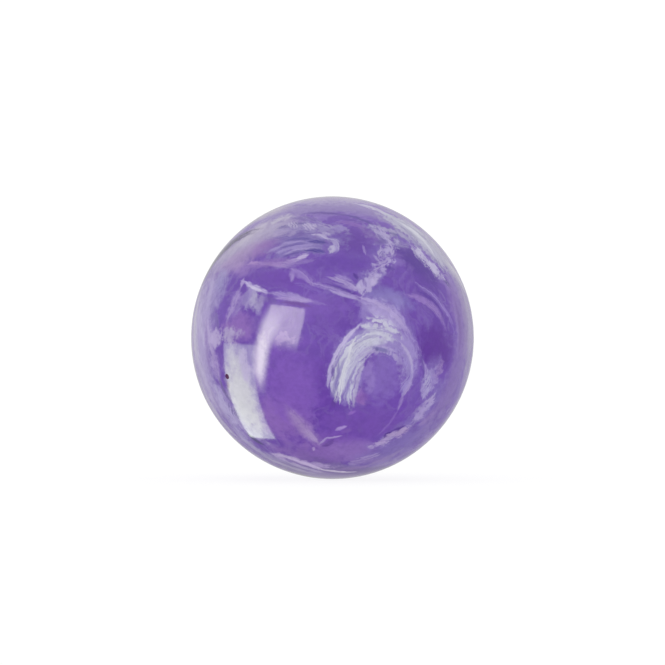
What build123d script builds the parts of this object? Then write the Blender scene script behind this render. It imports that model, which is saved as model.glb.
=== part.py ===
"""A marbled game ball, in millimetres.

It is one solid casting of two resins: a violet body, and streaks of white resin that lie in its surface.
Each streak is its own solid and fills its own pocket in the body, flush with the sphere.
The origin is the centre of the ball, +Z is up, and the front faces -Y.
Longitude runs from the front towards +X, latitude runs from the equator towards +Z, both in degrees.
"""
from build123d import *
from math import cos, radians, sin, tan
import os

os.makedirs("parts", exist_ok=True)

# ---- driving dimensions ----
BALL_DIAMETER = 35.0
BALL_RADIUS = BALL_DIAMETER / 2
PLUME_DEPTH = 2.4  # broad plumes of white resin reach this far below the surface
BAND_DEPTH = 1.6
VEIN_DEPTH = 0.9
SPECK_RADIUS = 0.36
SPECK_DEPTH = 0.12  # how far the middle of the speck lies below the surface


def surface_point(longitude, latitude):
    """The point of the ball's surface at that longitude and latitude."""
    turn, rise = radians(longitude), radians(latitude)
    return Vector(cos(rise) * sin(turn), -cos(rise) * cos(turn), sin(rise)) * BALL_RADIUS


def facing(longitude, latitude):
    """The plane through the ball's centre that looks out at that longitude and latitude."""
    turn = radians(longitude)
    return Plane(
        origin=(0, 0, 0),
        x_dir=(cos(turn), sin(turn), 0),
        z_dir=surface_point(longitude, latitude),
    )


def ribbon(plane, spine):
    """The two long edges of a tapering ribbon on the ball, as points in the plane's own coordinates.

    Each step of the spine is (longitude, latitude, half width), all in degrees of arc.
    """
    middle = [surface_point(longitude, latitude) for longitude, latitude, _ in spine]
    last = len(middle) - 1
    edges = []
    for side in (1, -1):
        edge = []
        for i, (point, (_, _, half_width)) in enumerate(zip(middle, spine)):
            ahead = middle[min(i + 1, last)] - middle[max(i - 1, 0)]
            across = point.cross(ahead).normalized() * (side * BALL_RADIUS * tan(radians(half_width)))
            local = plane.to_local_coords((point + across).normalized() * BALL_RADIUS)
            edge.append((local.X, local.Y))
        edges.append(edge)
    return edges


# ---- streaks on the front ----

# The horseshoe plume: a thick left leg, a round top and a thin right leg.
arch_plane = facing(17, -12)
outer_edge, inner_edge = ribbon(
    arch_plane,
    [
        (6.5, -30, 0), (5, -23, 4.6), (4.5, -14, 5.8), (8, -4, 5.4), (14, 1, 4.7),
        (23, -1, 4.0), (29, -7, 3.4), (32, -14, 2.6), (31.5, -22, 1.8), (29, -30, 0),
    ],
)
with BuildPart() as arch_plume:
    with BuildSketch(arch_plane):
        with BuildLine():
            Spline(*outer_edge)
            Spline(*inner_edge)
        make_face()
    extrude(amount=BALL_DIAMETER)
    Sphere(BALL_RADIUS, mode=Mode.INTERSECT)
    Sphere(BALL_RADIUS - PLUME_DEPTH, mode=Mode.SUBTRACT)

# The ring streak that follows the horseshoe round on its right and below.
ring_plane = facing(38, -20)
outer_edge, inner_edge = ribbon(
    ring_plane,
    [
        (31, 4.5, 0), (35, -1, 1.6), (40, -8, 2.6), (43.5, -16, 3.8),
        (47.5, -24, 4.0), (46, -33, 3.8), (38, -42, 3.2), (24, -49, 0),
    ],
)
with BuildPart() as outer_ring:
    with BuildSketch(ring_plane):
        with BuildLine():
            Spline(*outer_edge)
            Spline(*inner_edge)
        make_face()
    extrude(amount=BALL_DIAMETER)
    Sphere(BALL_RADIUS, mode=Mode.INTERSECT)
    Sphere(BALL_RADIUS - BAND_DEPTH, mode=Mode.SUBTRACT)

# The ridge that runs down to the right, over the top of the horseshoe.
ridge_plane = facing(6, 17)
upper_edge, lower_edge = ribbon(
    ridge_plane,
    [
        (-19, 28.5, 0), (-12, 25, 1.6), (-5, 21.8, 1.6), (3, 18.6, 1.8),
        (11, 14.5, 2.6), (19, 10.5, 3.0), (26, 7, 2.0), (30, 5.6, 0),
    ],
)
with BuildPart() as ridge_vein:
    with BuildSketch(ridge_plane):
        with BuildLine():
            Spline(*upper_edge)
            Spline(*lower_edge)
        make_face()
    extrude(amount=BALL_DIAMETER)
    Sphere(BALL_RADIUS, mode=Mode.INTERSECT)
    Sphere(BALL_RADIUS - VEIN_DEPTH, mode=Mode.SUBTRACT)

# The cracked web of veins, from the crown down to the ridge.
web_plane = facing(16, 36)
upper_edge, lower_edge = ribbon(
    web_plane,
    [
        (31, 54, 0), (29, 47, 3.0), (25.5, 40, 3.8), (21.5, 33, 4.0),
        (17, 27, 3.8), (10.5, 23, 2.6), (3, 23.5, 1.4), (-3, 25, 0),
    ],
)
with BuildPart() as web_veins:
    with BuildSketch(web_plane):
        with BuildLine():
            Spline(*upper_edge)
            Spline(*lower_edge)
        make_face()
    extrude(amount=BALL_DIAMETER)
    Sphere(BALL_RADIUS, mode=Mode.INTERSECT)
    Sphere(BALL_RADIUS - BAND_DEPTH, mode=Mode.SUBTRACT)

# The brushed plume at the upper left, and the thin vein under it.
brush_plane = facing(-15, 39)
upper_edge, lower_edge = ribbon(
    brush_plane,
    [(-34, 34.5, 0), (-24, 37.5, 3.2), (-14, 40, 4.6), (-5, 41, 4.6), (4, 39.5, 0)],
)
with BuildPart() as brush_plume:
    with BuildSketch(brush_plane):
        with BuildLine():
            Spline(*upper_edge)
            Spline(*lower_edge)
        make_face()
    extrude(amount=BALL_DIAMETER)
    Sphere(BALL_RADIUS, mode=Mode.INTERSECT)
    Sphere(BALL_RADIUS - PLUME_DEPTH, mode=Mode.SUBTRACT)

thread_plane = facing(-24, 31)
upper_edge, lower_edge = ribbon(
    thread_plane,
    [(-42, 29, 0), (-32, 30.2, 1.2), (-22, 30.4, 1.3), (-14, 32, 1.6), (-6, 34.2, 0)],
)
with BuildPart() as thread_vein:
    with BuildSketch(thread_plane):
        with BuildLine():
            Spline(*upper_edge)
            Spline(*lower_edge)
        make_face()
    extrude(amount=BALL_DIAMETER)
    Sphere(BALL_RADIUS, mode=Mode.INTERSECT)
    Sphere(BALL_RADIUS - VEIN_DEPTH, mode=Mode.SUBTRACT)

# The pale band round the upper left.
crest_plane = facing(-38, 48)
upper_edge, lower_edge = ribbon(
    crest_plane,
    [(-72, 28, 0), (-60, 42, 4.0), (-44, 50, 4.5), (-28, 52, 3.6), (-12, 51, 2.4), (0, 49.5, 0)],
)
with BuildPart() as crest_band:
    with BuildSketch(crest_plane):
        with BuildLine():
            Spline(*upper_edge)
            Spline(*lower_edge)
        make_face()
    extrude(amount=BALL_DIAMETER)
    Sphere(BALL_RADIUS, mode=Mode.INTERSECT)
    Sphere(BALL_RADIUS - BAND_DEPTH, mode=Mode.SUBTRACT)

# The hooked vein on the left, and the loop that falls from its end.
hook_plane = facing(-24, 18)
upper_edge, lower_edge = ribbon(
    hook_plane,
    [
        (-47, 26, 0), (-41, 22.8, 1.8), (-35, 20, 2.0), (-29, 17.8, 1.6),
        (-20, 16.8, 1.5), (-11, 15.2, 1.4), (-3, 14, 0),
    ],
)
with BuildPart() as hook_vein:
    with BuildSketch(hook_plane):
        with BuildLine():
            Spline(*upper_edge)
            Spline(*lower_edge)
        make_face()
    extrude(amount=BALL_DIAMETER)
    Sphere(BALL_RADIUS, mode=Mode.INTERSECT)
    Sphere(BALL_RADIUS - VEIN_DEPTH, mode=Mode.SUBTRACT)

loop_plane = facing(-52, 8)
outer_edge, inner_edge = ribbon(
    loop_plane, [(-46, 20, 0), (-49.5, 13, 1.4), (-53, 5, 1.5), (-55.5, -4, 0)]
)
with BuildPart() as loop_vein:
    with BuildSketch(loop_plane):
        with BuildLine():
            Spline(*outer_edge)
            Spline(*inner_edge)
        make_face()
    extrude(amount=BALL_DIAMETER)
    Sphere(BALL_RADIUS, mode=Mode.INTERSECT)
    Sphere(BALL_RADIUS - VEIN_DEPTH, mode=Mode.SUBTRACT)

# The pale band down the left side.
left_plane = facing(-67, -8)
outer_edge, inner_edge = ribbon(
    left_plane,
    [
        (-72, 24, 0), (-74, 12, 2.6), (-72, 0, 3.2), (-68, -12, 3.4),
        (-62, -25, 3.4), (-56, -36, 2.4), (-50, -45, 0),
    ],
)
with BuildPart() as left_band:
    with BuildSketch(left_plane):
        with BuildLine():
            Spline(*outer_edge)
            Spline(*inner_edge)
        make_face()
    extrude(amount=BALL_DIAMETER)
    Sphere(BALL_RADIUS, mode=Mode.INTERSECT)
    Sphere(BALL_RADIUS - BAND_DEPTH, mode=Mode.SUBTRACT)

# The white band round the crown and down the upper right, and the narrow one beyond it.
crown_plane = facing(44, 50)
outer_edge, inner_edge = ribbon(
    crown_plane,
    [
        (8, 71, 0), (30, 64, 2.2), (45, 56, 3.6), (53, 47, 4.6),
        (58, 37, 4.4), (61, 28, 2.6), (62, 21, 0),
    ],
)
with BuildPart() as crown_band:
    with BuildSketch(crown_plane):
        with BuildLine():
            Spline(*outer_edge)
            Spline(*inner_edge)
        make_face()
    extrude(amount=BALL_DIAMETER)
    Sphere(BALL_RADIUS, mode=Mode.INTERSECT)
    Sphere(BALL_RADIUS - BAND_DEPTH, mode=Mode.SUBTRACT)

right_plane = facing(79, 15)
outer_edge, inner_edge = ribbon(
    right_plane, [(70, 36, 0), (76, 26, 2.2), (80, 15, 2.6), (83, 4, 2.2), (84, -6, 0)]
)
with BuildPart() as right_band:
    with BuildSketch(right_plane):
        with BuildLine():
            Spline(*outer_edge)
            Spline(*inner_edge)
        make_face()
    extrude(amount=BALL_DIAMETER)
    Sphere(BALL_RADIUS, mode=Mode.INTERSECT)
    Sphere(BALL_RADIUS - BAND_DEPTH, mode=Mode.SUBTRACT)

# The two thin veins side by side on the right.
twin_plane = facing(45, 10)
outer_edge, inner_edge = ribbon(
    twin_plane, [(38, 25, 0), (44, 20, 1.2), (50, 13, 1.5), (54.5, 5, 1.4), (56.5, -3, 0)]
)
with BuildPart() as twin_vein_upper:
    with BuildSketch(twin_plane):
        with BuildLine():
            Spline(*outer_edge)
            Spline(*inner_edge)
        make_face()
    extrude(amount=BALL_DIAMETER)
    Sphere(BALL_RADIUS, mode=Mode.INTERSECT)
    Sphere(BALL_RADIUS - VEIN_DEPTH, mode=Mode.SUBTRACT)

outer_edge, inner_edge = ribbon(
    twin_plane, [(31, 17.5, 0), (36, 15, 1.3), (42, 11, 1.6), (47, 5, 1.3), (50, -1, 0)]
)
with BuildPart() as twin_vein_lower:
    with BuildSketch(twin_plane):
        with BuildLine():
            Spline(*outer_edge)
            Spline(*inner_edge)
        make_face()
    extrude(amount=BALL_DIAMETER)
    Sphere(BALL_RADIUS, mode=Mode.INTERSECT)
    Sphere(BALL_RADIUS - VEIN_DEPTH, mode=Mode.SUBTRACT)

# The flare low on the front, and the vein round the underside.
flare_plane = facing(-15, -38)
outer_edge, inner_edge = ribbon(
    flare_plane, [(-25, -28, 0), (-18, -36, 2.4), (-12, -43, 2.8), (-7, -48.5, 0)]
)
with BuildPart() as flare_vein:
    with BuildSketch(flare_plane):
        with BuildLine():
            Spline(*outer_edge)
            Spline(*inner_edge)
        make_face()
    extrude(amount=BALL_DIAMETER)
    Sphere(BALL_RADIUS, mode=Mode.INTERSECT)
    Sphere(BALL_RADIUS - VEIN_DEPTH, mode=Mode.SUBTRACT)

keel_plane = facing(-14, -63)
upper_edge, lower_edge = ribbon(
    keel_plane, [(-42, -53, 0), (-31, -58.5, 1.8), (-18, -63.5, 2.2), (-3, -66.5, 2.0), (14, -67, 0)]
)
with BuildPart() as keel_vein:
    with BuildSketch(keel_plane):
        with BuildLine():
            Spline(*upper_edge)
            Spline(*lower_edge)
        make_face()
    extrude(amount=BALL_DIAMETER)
    Sphere(BALL_RADIUS, mode=Mode.INTERSECT)
    Sphere(BALL_RADIUS - VEIN_DEPTH, mode=Mode.SUBTRACT)

# ---- streaks on the sides and back ----

side_plane = facing(108, -24)
outer_edge, inner_edge = ribbon(
    side_plane, [(92, -44, 0), (98, -32, 3.4), (106, -20, 5.0), (116, -10, 4.2), (126, -4, 0)]
)
with BuildPart() as side_plume:
    with BuildSketch(side_plane):
        with BuildLine():
            Spline(*outer_edge)
            Spline(*inner_edge)
        make_face()
    extrude(amount=BALL_DIAMETER)
    Sphere(BALL_RADIUS, mode=Mode.INTERSECT)
    Sphere(BALL_RADIUS - PLUME_DEPTH, mode=Mode.SUBTRACT)

back_plane = facing(166, 2)
outer_edge, inner_edge = ribbon(
    back_plane,
    [
        (140, -15, 0), (146, -4, 4.5), (154, 6, 6.0), (165, 12, 5.4),
        (177, 11, 4.0), (186, 3, 2.6), (189, -8, 0),
    ],
)
with BuildPart() as back_plume:
    with BuildSketch(back_plane):
        with BuildLine():
            Spline(*outer_edge)
            Spline(*inner_edge)
        make_face()
    extrude(amount=BALL_DIAMETER)
    Sphere(BALL_RADIUS, mode=Mode.INTERSECT)
    Sphere(BALL_RADIUS - PLUME_DEPTH, mode=Mode.SUBTRACT)

back_ring_plane = facing(162, 32)
upper_edge, lower_edge = ribbon(
    back_ring_plane,
    [(124, 30, 0), (140, 34, 2.4), (158, 35, 3.4), (176, 33, 3.0), (191, 27, 2.0), (201, 19, 0)],
)
with BuildPart() as back_ring:
    with BuildSketch(back_ring_plane):
        with BuildLine():
            Spline(*upper_edge)
            Spline(*lower_edge)
        make_face()
    extrude(amount=BALL_DIAMETER)
    Sphere(BALL_RADIUS, mode=Mode.INTERSECT)
    Sphere(BALL_RADIUS - BAND_DEPTH, mode=Mode.SUBTRACT)

back_band_plane = facing(-114, 2)
outer_edge, inner_edge = ribbon(
    back_band_plane,
    [(-100, 40, 0), (-108, 26, 3.0), (-114, 10, 4.6), (-118, -8, 4.2), (-119, -24, 2.6), (-116, -38, 0)],
)
with BuildPart() as back_band:
    with BuildSketch(back_band_plane):
        with BuildLine():
            Spline(*outer_edge)
            Spline(*inner_edge)
        make_face()
    extrude(amount=BALL_DIAMETER)
    Sphere(BALL_RADIUS, mode=Mode.INTERSECT)
    Sphere(BALL_RADIUS - BAND_DEPTH, mode=Mode.SUBTRACT)

back_keel_plane = facing(186, -46)
upper_edge, lower_edge = ribbon(
    back_keel_plane, [(150, -38, 0), (166, -46, 2.6), (184, -49, 3.4), (204, -47, 2.8), (222, -38, 0)]
)
with BuildPart() as back_keel:
    with BuildSketch(back_keel_plane):
        with BuildLine():
            Spline(*upper_edge)
            Spline(*lower_edge)
        make_face()
    extrude(amount=BALL_DIAMETER)
    Sphere(BALL_RADIUS, mode=Mode.INTERSECT)
    Sphere(BALL_RADIUS - BAND_DEPTH, mode=Mode.SUBTRACT)

# ---- the dark speck caught in the surface on the left ----
speck_centre = surface_point(-49, -15.5) * (1 - SPECK_DEPTH / BALL_RADIUS)
with BuildPart() as dark_speck:
    with Locations(speck_centre):
        Sphere(SPECK_RADIUS)
    Sphere(BALL_RADIUS, mode=Mode.INTERSECT)

# ---- the violet body, with a pocket for each inclusion ----
inclusions = {
    "arch_plume": arch_plume,
    "outer_ring": outer_ring,
    "ridge_vein": ridge_vein,
    "web_veins": web_veins,
    "brush_plume": brush_plume,
    "thread_vein": thread_vein,
    "crest_band": crest_band,
    "hook_vein": hook_vein,
    "loop_vein": loop_vein,
    "left_band": left_band,
    "crown_band": crown_band,
    "right_band": right_band,
    "twin_vein_upper": twin_vein_upper,
    "twin_vein_lower": twin_vein_lower,
    "flare_vein": flare_vein,
    "keel_vein": keel_vein,
    "side_plume": side_plume,
    "back_plume": back_plume,
    "back_ring": back_ring,
    "back_band": back_band,
    "back_keel": back_keel,
    "dark_speck": dark_speck,
}
with BuildPart() as ball_body:
    Sphere(BALL_RADIUS)
    for inclusion in inclusions.values():
        add(inclusion.part, mode=Mode.SUBTRACT)

# ---- export ----
for name, piece in {"ball_body": ball_body, **inclusions}.items():
    piece.part.label = name
    export_step(piece.part, f"parts/{name}.step")
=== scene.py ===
"""A marbled resin ball: violet, with white plumes and veins under a high polish."""

import bpy
from math import cos, hypot, pi, radians, sin
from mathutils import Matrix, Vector


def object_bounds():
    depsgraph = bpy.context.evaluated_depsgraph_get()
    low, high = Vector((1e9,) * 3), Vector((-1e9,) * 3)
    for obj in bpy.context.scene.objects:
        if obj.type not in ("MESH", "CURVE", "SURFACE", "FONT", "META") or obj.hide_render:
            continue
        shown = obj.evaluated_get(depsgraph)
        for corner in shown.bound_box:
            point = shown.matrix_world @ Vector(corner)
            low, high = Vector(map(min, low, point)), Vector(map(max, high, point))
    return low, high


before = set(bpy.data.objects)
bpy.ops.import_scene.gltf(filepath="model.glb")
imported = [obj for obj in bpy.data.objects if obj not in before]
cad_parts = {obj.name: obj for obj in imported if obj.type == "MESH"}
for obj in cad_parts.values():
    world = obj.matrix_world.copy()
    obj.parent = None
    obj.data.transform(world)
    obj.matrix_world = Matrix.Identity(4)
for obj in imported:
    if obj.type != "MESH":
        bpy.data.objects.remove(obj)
cad_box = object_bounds()

BALL_RADIUS = (cad_box[1].z - cad_box[0].z) / 2
CENTRE_HEIGHT = (cad_box[1].z + cad_box[0].z) / 2
MM = 0.001

REGION_MARGIN = 0.12  # in radians, past a piece's own size, for strokes that might reach it
ROOM_LIGHT = 1.04  # how bright the room is to what it lights
ROOM_AHEAD, ROOM_BEHIND, ROOM_RISE = 0.30, 0.66, 0.38  # as the polish mirrors it, and its rise with height
FLOOR_GLOW = 0.88  # how much of the floor's white comes from below
VEIL = 0.022  # the light that the polish adds over the resin, facing the viewer
POLISH, SCUFFING = 0.045, 0.05  # the roughness of the polished resin, and what its scuffs add
SWIRL = 0.03  # how far the resins swirl, as a share of the radius
STROKE_DRIFT = 0.004  # how far the wisps carry the strokes with them
WISPS_AHEAD, WISPS_BEHIND = 0.12, 0.42  # how much the wisps show in front, where the strokes are, and behind
BALL_SHARE = 0.425  # the ball's radius, against half the picture's width
RISE_SHARE = 0.0156  # how far the camera looks past the ball's centre, against the same half


def linear(level):
    """One 8-bit display level as a linear value."""
    share = level / 255
    return share / 12.92 if share <= 0.04045 else ((share + 0.055) / 1.055) ** 2.4


def resin(red, green, blue):
    """The resin colour that ends up looking like this display colour, in the room's light."""
    return tuple(max(0.0, (linear(c) - VEIL) / ROOM_LIGHT) for c in (red, green, blue)) + (1.0,)


# ---------------------------------------------------------------- node helpers

class Graph:
    """Adds shader nodes to one node tree and hands back their outputs."""

    def __init__(self, tree):
        self.tree = tree

    def node(self, kind, values=None, **settings):
        made = self.tree.nodes.new(kind)
        for key, value in settings.items():
            setattr(made, key, value)
        for key, value in (values or {}).items():
            self.feed(made.inputs[key], value)
        return made

    def feed(self, socket, value):
        if isinstance(value, bpy.types.NodeSocket):
            self.tree.links.new(value, socket)
        else:
            socket.default_value = value

    def math(self, operation, *values):
        return self.node("ShaderNodeMath", dict(enumerate(values)), operation=operation).outputs[0]

    def plus(self, first, second):
        return self.math("ADD", first, second)

    def minus(self, first, second):
        return self.math("SUBTRACT", first, second)

    def times(self, first, second):
        return self.math("MULTIPLY", first, second)

    def vector(self, operation, *values):
        made = self.node("ShaderNodeVectorMath", dict(enumerate(values)), operation=operation)
        return made.outputs["Value" if operation in ("DOT_PRODUCT", "LENGTH") else "Vector"]

    def scaled(self, vector, amount):
        made = self.node("ShaderNodeVectorMath", {0: vector, "Scale": amount}, operation="SCALE")
        return made.outputs[0]

    def step(self, value, low, high, to_low=0.0, to_high=1.0):
        """A smooth rise from to_low to to_high while value goes from low to high."""
        made = self.node(
            "ShaderNodeMapRange",
            {"Value": value, "From Min": low, "From Max": high, "To Min": to_low, "To Max": to_high},
            interpolation_type="SMOOTHSTEP", clamp=False,
        )
        return made.outputs[0]

    def noise(self, vector, scale, detail=2.0, roughness=0.5, colour=False):
        made = self.node(
            "ShaderNodeTexNoise",
            {"Vector": vector, "Scale": scale, "Detail": detail, "Roughness": roughness},
        )
        return made.outputs["Color" if colour else "Fac"]

    def line_noise(self, place, detail=1.0):
        """Noise along a line."""
        made = self.node("ShaderNodeTexNoise", {"W": place, "Scale": 1.0, "Detail": detail},
                         noise_dimensions="1D")
        return made.outputs["Fac"]

    def mix(self, amount, first, second):
        made = self.node("ShaderNodeMix", data_type="RGBA")
        self.feed(made.inputs[0], amount)
        self.feed(made.inputs[6], first)
        self.feed(made.inputs[7], second)
        return made.outputs[2]

    def join(self, x, y, z):
        return self.node("ShaderNodeCombineXYZ", {0: x, 1: y, 2: z}).outputs[0]


def add_socket(tree, label, kind, in_out="INPUT"):
    return tree.interface.new_socket(label, in_out=in_out, socket_type="NodeSocket" + kind)


def emptied(owner):
    """The graph of a material or world, with nothing in it yet."""
    owner.use_nodes = True
    owner.node_tree.nodes.clear()
    return Graph(owner.node_tree)


# ---------------------------------------------------------------- directions on the ball

def outward(longitude, latitude):
    """Longitude runs from the front towards +X, latitude from the equator up, in degrees."""
    turn, rise = radians(longitude), radians(latitude)
    return Vector((cos(rise) * sin(turn), -cos(rise) * cos(turn), sin(rise)))


def local_frame(longitude, latitude, heading):
    """Outward, along and across directions. The heading turns from east towards north."""
    out = outward(longitude, latitude)
    east = Vector((cos(radians(longitude)), sin(radians(longitude)), 0))
    north = out.cross(east)
    along = east * cos(radians(heading)) + north * sin(radians(heading))
    return out, along, out.cross(along)


def between(start, end):
    """The same three directions for a stroke between two points, and half its length."""
    first, last = outward(*start), outward(*end)
    out = (first + last).normalized()
    along = (last - first).normalized()
    return (out, along, out.cross(along)), (last - first).length / 2


# ---------------------------------------------------------------- brush strokes of resin

STROKE_VALUES = {
    "Cloud": 0.5, "Length": 0.3, "Width": 0.05, "Bow": 0.0, "Taper": 0.0, "Blunt": 2.4, "Fibres": 0.5,
    "Strands": 2.0, "Slant": 1.0, "Seed": 0.0, "Soft": 0.8, "Strength": 0.8, "Sweep": 1.0,
}

STRAND_WANDER = 5.0  # how far the cloud bends the strands
RAGGEDNESS = 2.6  # how far full fibres eat into a stroke's edge
HAZE_RAGGEDNESS = 3.0
GAP_DEPTH = 0.85  # how much resin full fibres take from between the strands
SEED_STEP = 3.7  # sets the strands of each stroke apart from the last one's
STROKES_PER_SET = 100


def new_group(name):
    """A node group with a stroke's inputs, and the graph and the inputs' outputs to build it with."""
    tree = bpy.data.node_groups.new(name, "ShaderNodeTree")
    for label in ("Where", "Along", "Across"):
        add_socket(tree, label, "Vector")
    for label, value in STROKE_VALUES.items():
        add_socket(tree, label, "Float").default_value = value
    for label in ("Under", "Resin"):
        add_socket(tree, label, "Color")
    add_socket(tree, "Colour", "Color", "OUTPUT")
    g = Graph(tree)
    return tree, g, g.node("NodeGroupInput").outputs


def in_sizes(g, given, across_size):
    """How far a direction lies along and across the stroke, against its length and the other size."""
    x = g.math("DIVIDE", g.vector("DOT_PRODUCT", given["Where"], given["Along"]), given["Length"])
    y = g.math("DIVIDE", g.vector("DOT_PRODUCT", given["Where"], given["Across"]), given[across_size])
    return x, y


def cover(g, given, amount):
    """Covers what is under with resin."""
    end = g.node("NodeGroupOutput")
    g.feed(end.inputs["Colour"], g.mix(amount, given["Under"], given["Resin"]))


def brush(g, given, along, offset):
    """A brushed stroke. Along runs from -1 to 1, and offset is in half widths."""
    tip = g.math("POWER", g.math("ABSOLUTE", along), given["Blunt"])
    edge = g.minus(g.minus(1.0, tip), g.math("ABSOLUTE", offset))
    place = g.math("MULTIPLY_ADD", offset, given["Strands"], given["Seed"])
    place = g.math("MULTIPLY_ADD", along, given["Slant"], place)
    place = g.math("MULTIPLY_ADD", given["Cloud"], STRAND_WANDER, place)
    strand = g.line_noise(place, detail=2.0)
    rough = g.minus(g.plus(strand, given["Cloud"]), 1.0)
    edge = g.math("MULTIPLY_ADD", rough, g.times(given["Fibres"], RAGGEDNESS), edge)
    fade = g.times(given["Soft"], 0.5)
    amount = g.step(edge, g.times(fade, -1.0), fade, 0.0, given["Strength"])
    gap = g.math("MULTIPLY_ADD", given["Fibres"], -GAP_DEPTH, 1.0)
    cover(g, given, g.times(amount, g.step(strand, 0.34, 0.56, gap, 1.0)))


def streak_group():
    """A stroke between two points, along a line that may bow."""
    tree, g, given = new_group("streak")
    along, offset = in_sizes(g, given, "Width")
    bowed = g.times(g.minus(g.times(along, along), 1.0), given["Bow"])
    brush(g, given, along, g.plus(offset, bowed))
    return tree


def arc_group():
    """A stroke along an ellipse. Length and Bow are its two radii."""
    tree, g, given = new_group("arc")
    x, y = in_sizes(g, given, "Bow")
    reach = g.math("SQRT", g.math("MULTIPLY_ADD", x, x, g.times(y, y)))
    along = g.math("DIVIDE", g.math("ARCTAN2", y, x), given["Sweep"])
    brush(g, given, along, g.math("DIVIDE", g.minus(reach, 1.0), given["Width"]))
    return tree


def haze_group():
    """A soft oval cloud with a ragged edge."""
    tree, g, given = new_group("haze")
    x, y = in_sizes(g, given, "Width")
    reach = g.math("MULTIPLY_ADD", x, x, g.times(y, y))
    ragged = g.times(g.minus(given["Cloud"], 0.5), given["Fibres"])
    edge = g.math("MULTIPLY_ADD", ragged, HAZE_RAGGEDNESS, g.minus(1.0, reach))
    cover(g, given, g.step(edge, 0.0, given["Soft"], 0.0, given["Strength"]))
    return tree


def pane_group():
    """A four-sided pane with soft edges."""
    tree, g, given = new_group("pane")
    x, y = in_sizes(g, given, "Width")
    bowed = g.times(g.minus(g.times(x, x), 1.0), given["Bow"])
    side = g.minus(g.math("MULTIPLY_ADD", x, given["Taper"], 1.0), g.math("ABSOLUTE", g.plus(y, bowed)))
    end = g.minus(1.0, g.math("ABSOLUTE", x))
    amount = g.step(side, 0.0, given["Soft"])
    cover(g, given, g.times(amount, g.step(end, 0.0, given["Fibres"], 0.0, given["Strength"])))
    return tree


class Painter:
    """Lays strokes of colour over one another, as a function of direction from the centre."""

    groups = {}

    def __init__(self, graph, where, cloud, colour, region=None, first_seed=0):
        self.graph = graph
        self.where = where
        self.cloud = cloud
        self.colour = colour
        self.region = region
        self.strokes = first_seed
        if not Painter.groups:
            Painter.groups = {"streak": streak_group(), "arc": arc_group(),
                              "haze": haze_group(), "pane": pane_group()}

    def _lay(self, kind, ways, size, colour, values):
        """Adds one stroke. One that lies wholly outside the region that is asked for is left out."""
        self.strokes += 1
        if self.region:
            middle, radius = self.region
            if ways[0].angle(middle) > radius + 1.5 * size + REGION_MARGIN:
                return
        made = self.graph.node(
            "ShaderNodeGroup",
            {"Where": self.where, "Cloud": self.cloud, "Along": ways[1], "Across": ways[2],
             "Under": self.colour, "Resin": colour, "Seed": self.strokes * SEED_STEP, **values},
            node_tree=Painter.groups[kind],
        )
        self.colour = made.outputs[0]

    def streak(self, start, end, width, colour, strength=0.8, bow=0.0, via=None, fibres=0.5,
               soft=1.2, strands=2.0, slant=1.0, blunt=2.4):
        """A stroke between two points. Width is a half width and bow a rise to the left, in degrees.
        A stroke that goes via a third point gets its bow from that."""
        ways, half = between(start, end)
        rise = radians(bow)
        if via:
            place = outward(*via)
            rise = place.dot(ways[2]) / (1 - (place.dot(ways[1]) / half) ** 2)
        self._lay("streak", ways, half + abs(rise) + radians(width), resin(*colour), {
            "Length": half, "Width": radians(width), "Bow": rise / radians(width), "Blunt": blunt,
            "Fibres": fibres, "Strands": strands, "Slant": slant, "Soft": soft, "Strength": strength,
        })

    def arc(self, at, heading, radii, sweep, width, colour, strength=0.8, fibres=0.6, soft=1.2,
            strands=2.0, slant=1.0, blunt=2.4):
        """A stroke along an ellipse round a point. The heading points to the middle of the stroke."""
        self._lay("arc", local_frame(*at, heading), radians(max(radii) + width), resin(*colour), {
            "Length": sin(radians(radii[0])), "Bow": sin(radians(radii[1])),
            "Width": 2 * width / (radii[0] + radii[1]), "Sweep": radians(sweep),
            "Blunt": blunt, "Fibres": fibres, "Strands": strands, "Slant": slant,
            "Soft": soft, "Strength": strength,
        })

    def haze(self, at, size, colour, strength=0.8, heading=0.0, soft=1.0, fibres=0.6):
        """A soft cloud. Its two half sizes are in degrees."""
        self._lay("haze", local_frame(*at, heading), radians(max(size)), resin(*colour), {
            "Length": sin(radians(size[0])), "Width": sin(radians(size[1])),
            "Fibres": fibres, "Soft": soft, "Strength": strength,
        })

    def pane(self, start, end, width, light, soft=0.15, fade=0.1, taper=0.0, bow=0.0):
        """A lit pane between two points, with its light as a colour past 1."""
        ways, half = between(start, end)
        self._lay("pane", ways, half + radians(width), light + (1.0,), {
            "Length": half, "Width": radians(width), "Bow": bow / width, "Taper": taper,
            "Soft": soft, "Fibres": fade, "Strength": 1.0,
        })


# Display colours of the resin.
VIOLET = (120, 88, 178)
DEEP = (100, 68, 156)
BLUE_VIOLET = (126, 106, 182)
BLUE_GREY = (132, 118, 184)
LILAC = (154, 134, 197)
PALE_LILAC = (174, 158, 206)
PALE = (190, 182, 214)
WHITE = (206, 206, 222)
SPECK_RED = (84, 26, 84)


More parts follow.
